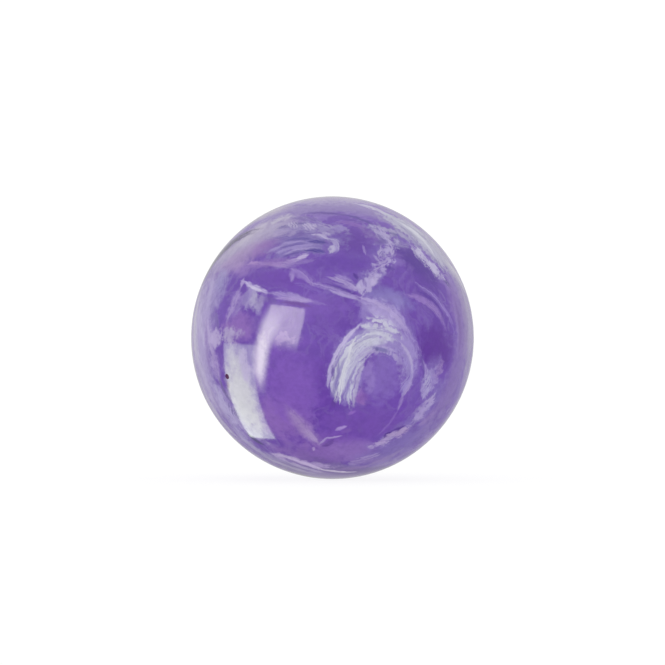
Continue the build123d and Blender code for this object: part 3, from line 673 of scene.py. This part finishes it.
def paint_underside(m):
    """The flare low on the front, short marks near it, and the vein round the underside."""
    m.haze((-15, -38), (10, 4), (152, 122, 188), 0.8, -58)
    m.streak((-21, -29), (-8, -47.4), 2.3, (168, 144, 196), 0.8, 0.3, soft=2.2, strands=1.4)
    m.streak((-14, -39), (-8.6, -46.6), 1.1, (182, 162, 206), 0.65, soft=1.8)
    m.streak((-7, -48.8), (1, -44.6), 1.0, (110, 84, 156), 0.8, -0.5, fibres=0.4)
    m.streak((-8, -47.6), (-2, -43.6), 0.5, (176, 158, 210), 0.85, 0.4, fibres=0.4)
    m.streak((-3, -44.2), (5, -42.6), 0.45, (182, 162, 214), 0.85, fibres=0.4)
    m.streak((-12.8, -51.6), (-11.4, -48.8), 0.6, (190, 166, 218))
    m.streak((1.6, -39.8), (7.4, -37.8), 0.7, (176, 152, 214), 0.9, 0.3, fibres=0.6)
    m.haze((7.4, -40), (3, 1.4), (136, 104, 180), 0.6, 20)
    m.haze((-30, -64), (28, 7), (160, 148, 192), 0.85, -22, fibres=0.5)
    m.haze((-4, -73), (34, 5), (150, 134, 184), 0.9, fibres=0.5)
    m.haze((44, -72), (40, 9), (112, 90, 156), 0.9, fibres=0.5)
    m.haze((0, -88), (22, 22), (140, 122, 176), 0.9)
    m.haze((-24, -61), (16, 3.4), (178, 158, 208), 0.8, -24, fibres=1.0)
    m.streak((-46, -54), (-24, -58.6), 1.3, (192, 176, 214), 0.85, via=(-36, -55), fibres=0.6)
    m.streak((-38, -54.4), (-9, -67.6), 1.2, (204, 186, 226), 0.95, via=(-25, -60.2), slant=2.0)
    m.streak((-16, -66), (30, -70), 0.9, (214, 202, 230), 0.95, via=(6, -69), fibres=0.4)
    m.streak((-36, -57), (-14, -68.6), 0.8, (124, 102, 166), via=(-26, -63), fibres=0.6)
    m.streak((-40, -58), (-10, -71), 1.2, (182, 168, 206), via=(-28, -65.4), fibres=0.7, slant=2.0)
    m.streak((-60, -56), (-24, -72), 1.6, (176, 166, 200), via=(-44, -64.6), fibres=0.6)
    m.streak((-50, -58), (-24, -69), 0.9, (130, 112, 166), 0.7, via=(-38, -64), fibres=0.7)
    m.streak((2, -66.6), (34, -63), 1.8, (150, 124, 182), 0.6, fibres=0.7)
    m.streak((16, -59.4), (34, -53.5), 1.6, (164, 146, 198), 0.85, -0.3, fibres=0.8, strands=1.6)
    m.streak((12, -60.4), (24, -60), 1.4, (156, 138, 196), fibres=0.9, strands=1.6)
    m.streak((30, -63), (52, -50), 1.6, (146, 128, 182), 0.7, -0.6, fibres=0.6, strands=1.4)
    m.haze((31, -59.4), (13, 4), (146, 122, 184), 0.65, 14, soft=1.4, fibres=0.8)


def plume(m, start, end, width, bow, base, bright):
    """A brushed plume: a soft body, and three finer strands that run along it."""
    m.streak(start, end, 1.5 * width, base, 0.8, bow, fibres=0.7, soft=1.8, strands=1.8)
    run, rise = end[0] - start[0], end[1] - start[1]
    reach = hypot(run, rise)
    for side, share in ((-0.5, 0.94), (0.1, 0.86), (0.62, 0.7)):
        shift_east, shift_north = -rise / reach * side * width, run / reach * side * width
        first = (start[0] + run * (1 - share) + shift_east, start[1] + rise * (1 - share) + shift_north)
        last = (start[0] + run * share + shift_east, start[1] + rise * share + shift_north)
        m.streak(first, last, 0.42 * width, bright, 0.85, bow * share, fibres=0.7, soft=1.4, slant=2.0)


def paint_back_clouds(m):
    """Slow changes of hue in the violet on the back."""
    m.haze((132, 4), (16, 22), DEEP, 0.85)
    m.haze((-150, 10), (18, 16), DEEP, 0.85)
    m.haze((-165, -30), (20, 12), (106, 73, 160))
    m.haze((-140, 42), (20, 10), (106, 72, 160))
    m.haze((175, 20), (24, 10), BLUE_GREY, 0.7)
    m.haze((150, -42), (20, 10), (146, 112, 186))
    m.haze((-125, -36), (20, 12), (146, 112, 186))
    m.haze((110, -22), (20, 12), (134, 108, 184), 0.7, 50)
    m.haze((-98, -10), (14, 22), (138, 114, 188))
    m.haze((144, 50), (26, 11), (142, 124, 186))
    m.haze((-96, 34), (20, 13), (160, 148, 190), fibres=0.5)
    m.haze((-100, 60), (34, 9), (164, 154, 190))
    m.haze((94, 20), (12, 26), (158, 146, 186), 0.75, fibres=0.5)
    m.haze((98, -52), (26, 12), (144, 118, 184))
    m.haze((166, -10), (9, 10), (138, 116, 190), 0.85)
    m.haze((180, -80), (40, 14), (152, 136, 188), 0.85)
    m.haze((180, 84), (30, 16), (150, 136, 186), 0.85)


def paint_back(m):
    """Plumes and veins on the sides and back."""
    paint_back_clouds(m)
    m.arc((166, -8), 95, (20, 19), 100, 5.6, LILAC, 0.85)
    m.arc((166, -8), 115, (19, 18), 66, 4.0, (196, 195, 214), 0.9, strands=2.4)
    m.arc((166, -8), 110, (16.6, 15.6), 50, 1.2, (170, 160, 206), fibres=0.8)
    m.arc((166, -8), 30, (20, 19), 60, 1.6, PALE, fibres=0.7, soft=1.6)
    plume(m, (126, 28), (200, 31), 3.2, 4.6, BLUE_GREY, PALE)
    m.streak((150, 42), (192, 40), 1.2, PALE_LILAC, 0.75, 2.0, fibres=0.9, soft=1.6)
    plume(m, (92, -44), (126, -4), 4.6, 1.2, LILAC, (198, 196, 216))
    m.streak((110, 36), (128, 2), 2.2, PALE_LILAC, 0.75, 2.4, fibres=0.9, soft=1.8)
    m.streak((90, 54), (120, 32), 1.8, PALE, 0.7, 1.4, fibres=0.9, soft=1.8)
    m.haze((104, 44), (9, 4), (168, 156, 202), 0.8, -40, fibres=2.4)
    plume(m, (-120, 40), (-112, -36), 4.2, 5.0, LILAC, (196, 192, 214))
    m.haze((-112, 12), (5, 14), (164, 150, 204), 0.75, fibres=2.2)
    plume(m, (-158, 14), (-124, 46), 2.0, -3.0, BLUE_GREY, PALE_LILAC)
    plume(m, (-168, -2), (-122, -28), 3.0, 4.6, BLUE_VIOLET, PALE_LILAC)
    m.haze((-146, -22), (7, 3.4), (168, 152, 204), 0.8, -20, fibres=2.4)
    m.streak((-112, -50), (-80, -32), 2.2, PALE, 0.7, 1.0, fibres=0.8, soft=1.8)
    plume(m, (150, -44), (222, -46), 3.4, -4.6, LILAC, PALE)
    m.streak((120, -50), (166, -66), 1.6, PALE_LILAC, 0.7, 1.0, fibres=0.8, soft=1.8)
    plume(m, (-180, 54), (-112, 60), 2.6, 2.0, BLUE_GREY, PALE_LILAC)
    m.streak((-20, 78), (130, 74), 2.2, PALE_LILAC, 0.7, 2.0, fibres=0.9, soft=1.8)
    m.streak((130, 66), (170, 72), 1.4, PALE, 0.7, -1.0, fibres=0.8, soft=1.6)
    m.streak((60, -66), (130, -62), 2.2, PALE_LILAC, 0.7, -2.0, fibres=0.9, soft=1.8)
    m.streak((-150, -70), (-70, -64), 2.2, PALE_LILAC, 0.7, 2.0, fibres=0.9, soft=1.8)
    m.haze((136, -18), (6, 3), (160, 146, 202), 0.75, 60, fibres=2.4)
    m.haze((178, 4), (7, 3), (158, 144, 200), 0.75, -30, fibres=2.4)


def stroke_set(paint, order, region):
    """One paint function's strokes as a node group, kept to their own half of the ball."""
    tree = bpy.data.node_groups.new(paint.__name__, "ShaderNodeTree")
    for label, kind in (("Where", "Vector"), ("Cloud", "Float"), ("Under", "Color")):
        add_socket(tree, label, kind)
    add_socket(tree, "Colour", "Color", "OUTPUT")
    g = Graph(tree)
    given = g.node("NodeGroupInput").outputs
    m = Painter(g, given["Where"], given["Cloud"], given["Under"], region, order * STROKES_PER_SET)
    paint(m)
    facing = (0.0, 1.0, 0.0) if paint is paint_back else (0.0, -1.0, 0.0)
    half = g.step(g.vector("DOT_PRODUCT", given["Where"], facing), -0.2, -0.05)
    end = g.node("NodeGroupOutput")
    g.feed(end.inputs["Colour"], g.mix(half, given["Under"], m.colour))
    return tree


def marbling_group(region=None):
    """The marbled colour of the resin, wherever on or in the ball it is asked for."""
    tree = bpy.data.node_groups.new("marbling", "ShaderNodeTree")
    add_socket(tree, "Colour", "Color", "OUTPUT")
    add_socket(tree, "Outward", "Vector", "OUTPUT")
    g = Graph(tree)
    position = g.node("ShaderNodeNewGeometry").outputs["Position"]
    outward_way = g.vector("NORMALIZE", g.vector("SUBTRACT", position, (0, 0, CENTRE_HEIGHT)))

    # The resins swirl into one another, so the strokes wander a little on two scales.
    half = (0.5, 0.5, 0.5)
    slow = g.vector("SUBTRACT", g.noise(outward_way, 3.0, colour=True), half)
    quick = g.vector("SUBTRACT", g.noise(outward_way, 16.0, detail=4.0, roughness=0.6, colour=True), half)
    swirled = g.vector("ADD", outward_way, g.scaled(slow, SWIRL))
    swirled = g.vector("ADD", swirled, g.scaled(quick, SWIRL))
    cloud = g.noise(swirled, 15.0, detail=4.0, roughness=0.62)

    # Violet that drifts between a deep and a bluer hue, with faint wisps of the white resin.
    drift = g.noise(swirled, 1.8, detail=3.0)
    colour = g.mix(g.step(drift, 0.36, 0.64), resin(*VIOLET), resin(114, 82, 172))
    hue = g.noise(g.vector("ADD", swirled, (4.0, 1.0, 7.0)), 2.4, detail=3.0)
    colour = g.mix(g.step(hue, 0.50, 0.75, 0.0, 0.7), colour, resin(*BLUE_VIOLET))
    bend = g.vector("SUBTRACT", g.noise(swirled, 1.9, colour=True), half)
    wisp_place = g.vector("ADD", swirled, g.scaled(bend, 0.9))
    wisp = g.noise(wisp_place, 4.2, detail=4.0, roughness=0.55)
    vein = g.math("ABSOLUTE", g.minus(wisp, 0.5))
    front = g.vector("DOT_PRODUCT", outward_way, outward(0, -5))
    share = g.step(front, 0.0, 0.75, WISPS_BEHIND, WISPS_AHEAD)
    colour = g.mix(g.times(g.step(vein, 0.0, 0.06, 1.0, 0.0), share), colour, resin(*PALE_LILAC))
    patch = g.step(g.noise(g.vector("ADD", wisp_place, (9.0, 3.0, 2.0)), 2.2, detail=3.0), 0.54, 0.72)
    colour = g.mix(g.times(patch, share), colour, resin(*LILAC))

    # The strokes drift a touch with the wisps, so they never cut across them.
    drift_way = g.vector("SUBTRACT", g.join(cloud, wisp, patch), half)
    swirled = g.vector("ADD", swirled, g.scaled(drift_way, STROKE_DRIFT))
    for order, paint in enumerate((
            paint_back, paint_clouds_and_top_sheen, paint_ring, paint_ridge, paint_web, paint_brushed_plume,
            paint_hook, paint_left_side, paint_right_side, paint_horseshoe, paint_underside)):
        made = g.node("ShaderNodeGroup", {"Where": swirled, "Cloud": cloud, "Under": colour},
                      node_tree=stroke_set(paint, order, region))
        colour = made.outputs[0]

    # Cloudy depth everywhere: the resins never mix to one flat colour.
    mottle = g.noise(outward_way, 34.0, detail=3.0)
    shade = g.step(g.plus(g.times(mottle, 0.5), g.times(cloud, 0.5)), 0.32, 0.68, 0.94, 1.06)
    colour = g.scaled(colour, shade)
    g.node("NodeGroupOutput", {"Colour": colour, "Outward": outward_way})
    return tree


# ---------------------------------------------------------------- materials

def polished(name, group, colour=None, shine=0.5):
    """Polished resin. The polish follows the true sphere, with a faint ripple and fine scuffs."""
    material = bpy.data.materials.new(name)
    g = emptied(material)
    marble = g.node("ShaderNodeGroup", node_tree=group)
    outward_way = marble.outputs["Outward"]
    ripple = g.noise(outward_way, 7.0, detail=1.0)
    scuff = g.noise(outward_way, 90.0, detail=3.0)
    bump = g.node("ShaderNodeBump", {"Strength": 0.25, "Distance": 0.02 * MM, "Height": ripple,
                                     "Normal": outward_way})
    if colour is None:
        colour = marble.outputs["Colour"]
    surface = g.node(
        "ShaderNodeBsdfPrincipled",
        {"Base Color": colour, "Roughness": g.step(scuff, 0.35, 0.75, POLISH, POLISH + SCUFFING),
         "IOR": 1.5, "Specular IOR Level": shine, "Normal": bump.outputs[0]},
    )
    g.node("ShaderNodeOutputMaterial", {"Surface": surface.outputs[0]})
    return material


def region_of(node):
    """The direction from the ball's centre to a piece, and how far round that it reaches."""
    centre = Vector((0, 0, CENTRE_HEIGHT))
    ways = [(node.matrix_world @ vertex.co - centre).normalized() for vertex in node.data.vertices]
    middle = sum(ways, Vector()).normalized()
    return middle, max(middle.angle(way) for way in ways)


def dress_ball():
    """Gives every CAD node its own polished material."""
    for name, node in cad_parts.items():
        if name == "ball_body":
            material = polished("violet_resin", marbling_group())
        elif name == "dark_speck":
            material = polished(name, marbling_group(region_of(node)), resin(*SPECK_RED), shine=0.05)
        else:
            material = polished(name, marbling_group(region_of(node)))
        node.data.materials.clear()
        node.data.materials.append(material)


# ---------------------------------------------------------------- stage, light and camera

def pale_floor():
    """A wide, pale table lit from below, so that only a faint shadow gathers under the ball."""
    half = 6.0  # metres
    mesh = bpy.data.meshes.new("floor")
    z = cad_box[0].z
    corners = [(-half, -half, z), (half, -half, z), (half, half, z), (-half, half, z)]
    mesh.from_pydata(corners, [], [(0, 1, 2, 3)])
    floor = bpy.data.objects.new("floor", mesh)
    bpy.context.scene.collection.objects.link(floor)
    floor.visible_glossy = False
    material = bpy.data.materials.new("pale_floor")
    g = emptied(material)
    grain = g.noise(g.node("ShaderNodeNewGeometry").outputs["Position"], 60.0)
    shade = g.mix(g.times(grain, 0.02), (0.97, 0.97, 0.97, 1), (0.8, 0.8, 0.8, 1))
    lit = g.node("ShaderNodeEmission", {"Color": (1, 1, 1, 1), "Strength": FLOOR_GLOW})
    board = g.node("ShaderNodeBsdfDiffuse", {"Color": g.scaled(shade, 1.02 - FLOOR_GLOW)})
    both = g.node("ShaderNodeAddShader", {0: lit.outputs[0], 1: board.outputs[0]})
    g.node("ShaderNodeOutputMaterial", {"Surface": both.outputs[0]})
    mesh.materials.append(material)


def paint_windows(m):
    """The windows, placed by where the front of the ball mirrors them."""
    m.pane((-41, -2), (-43.8, -45.4), 8.3, (4.0, 4.5, 3.4), soft=0.16, fade=0.05, bow=-0.8, taper=-0.1)
    m.pane((-18.6, 12.8), (-19.6, 4), 7.8, (6.4, 6.4, 5.0), soft=0.12)
    m.pane((-18.5, 13), (-21.5, -6), 7.8, (6.4, 6.4, 5.0), soft=0.12, fade=0.8, taper=-0.1)
    m.pane((-20.6, 15.5), (-32.6, -25), 4.9, (11.4, 11.6, 8.8), soft=0.9, fade=0.6, bow=-2.9, taper=-0.3)
    m.pane((21, 20), (21.4, 2), 9.6, (1.5, 1.5, 1.5), soft=0.1, fade=0.5)


def seen_from_the_camera(g, direction):
    """Turns a direction so that -Y points at the camera: the windows stay where they are in the picture."""
    turned = g.node("ShaderNodeVectorTransform", {"Vector": direction},
                    vector_type="VECTOR", convert_from="WORLD", convert_to="CAMERA").outputs[0]
    to_right, up, away = g.node("ShaderNodeSeparateXYZ", {0: turned}).outputs
    return g.join(to_right, away, up)


def soft_room():
    """An even white room. Mirrored in the polish it is dimmer in front than behind, with windows."""
    world = bpy.data.worlds.new("soft_room")
    bpy.context.scene.world = world
    g = emptied(world)
    direction = seen_from_the_camera(g, g.node("ShaderNodeTexCoord").outputs["Generated"])
    behind = g.vector("DOT_PRODUCT", direction, (0.0, 1.0, 0.0))
    height = g.vector("DOT_PRODUCT", direction, (0.0, 0.0, 1.0))
    mirrored = g.step(behind, -0.6, 1.0, ROOM_AHEAD, ROOM_BEHIND)
    mirrored = g.math("MULTIPLY_ADD", height, ROOM_RISE, mirrored)
    halfway = g.vector("NORMALIZE", g.vector("ADD", direction, (0.0, -1.0, 0.0)))
    m = Painter(g, halfway, 0.5, g.join(mirrored, mirrored, g.times(mirrored, 0.97)))
    paint_windows(m)
    path = g.node("ShaderNodeLightPath")
    light = g.mix(path.outputs["Is Glossy Ray"], (ROOM_LIGHT, ROOM_LIGHT, ROOM_LIGHT, 1.0), m.colour)
    background = g.node("ShaderNodeBackground", {"Color": light, "Strength": 1.0})
    g.node("ShaderNodeOutputWorld", {"Surface": background.outputs[0]})


def place_camera():
    """Level with the ball and far off on a long lens, so that it is seen almost without perspective."""
    sensor, lens = 36.0, 200.0
    half_view = sensor / 2 / lens
    distance = BALL_RADIUS / (BALL_SHARE * half_view)
    data = bpy.data.cameras.new("camera")
    data.lens, data.sensor_width = lens, sensor
    data.clip_start, data.clip_end = 0.05, 20
    camera = bpy.data.objects.new("camera", data)
    bpy.context.scene.collection.objects.link(camera)
    camera.location = (0, -distance, CENTRE_HEIGHT + RISE_SHARE * half_view * distance)
    camera.rotation_euler = (pi / 2, 0, 0)
    bpy.context.scene.camera = camera


dress_ball()
pale_floor()
soft_room()
place_camera()
bpy.context.scene.view_settings.view_transform = "Standard"
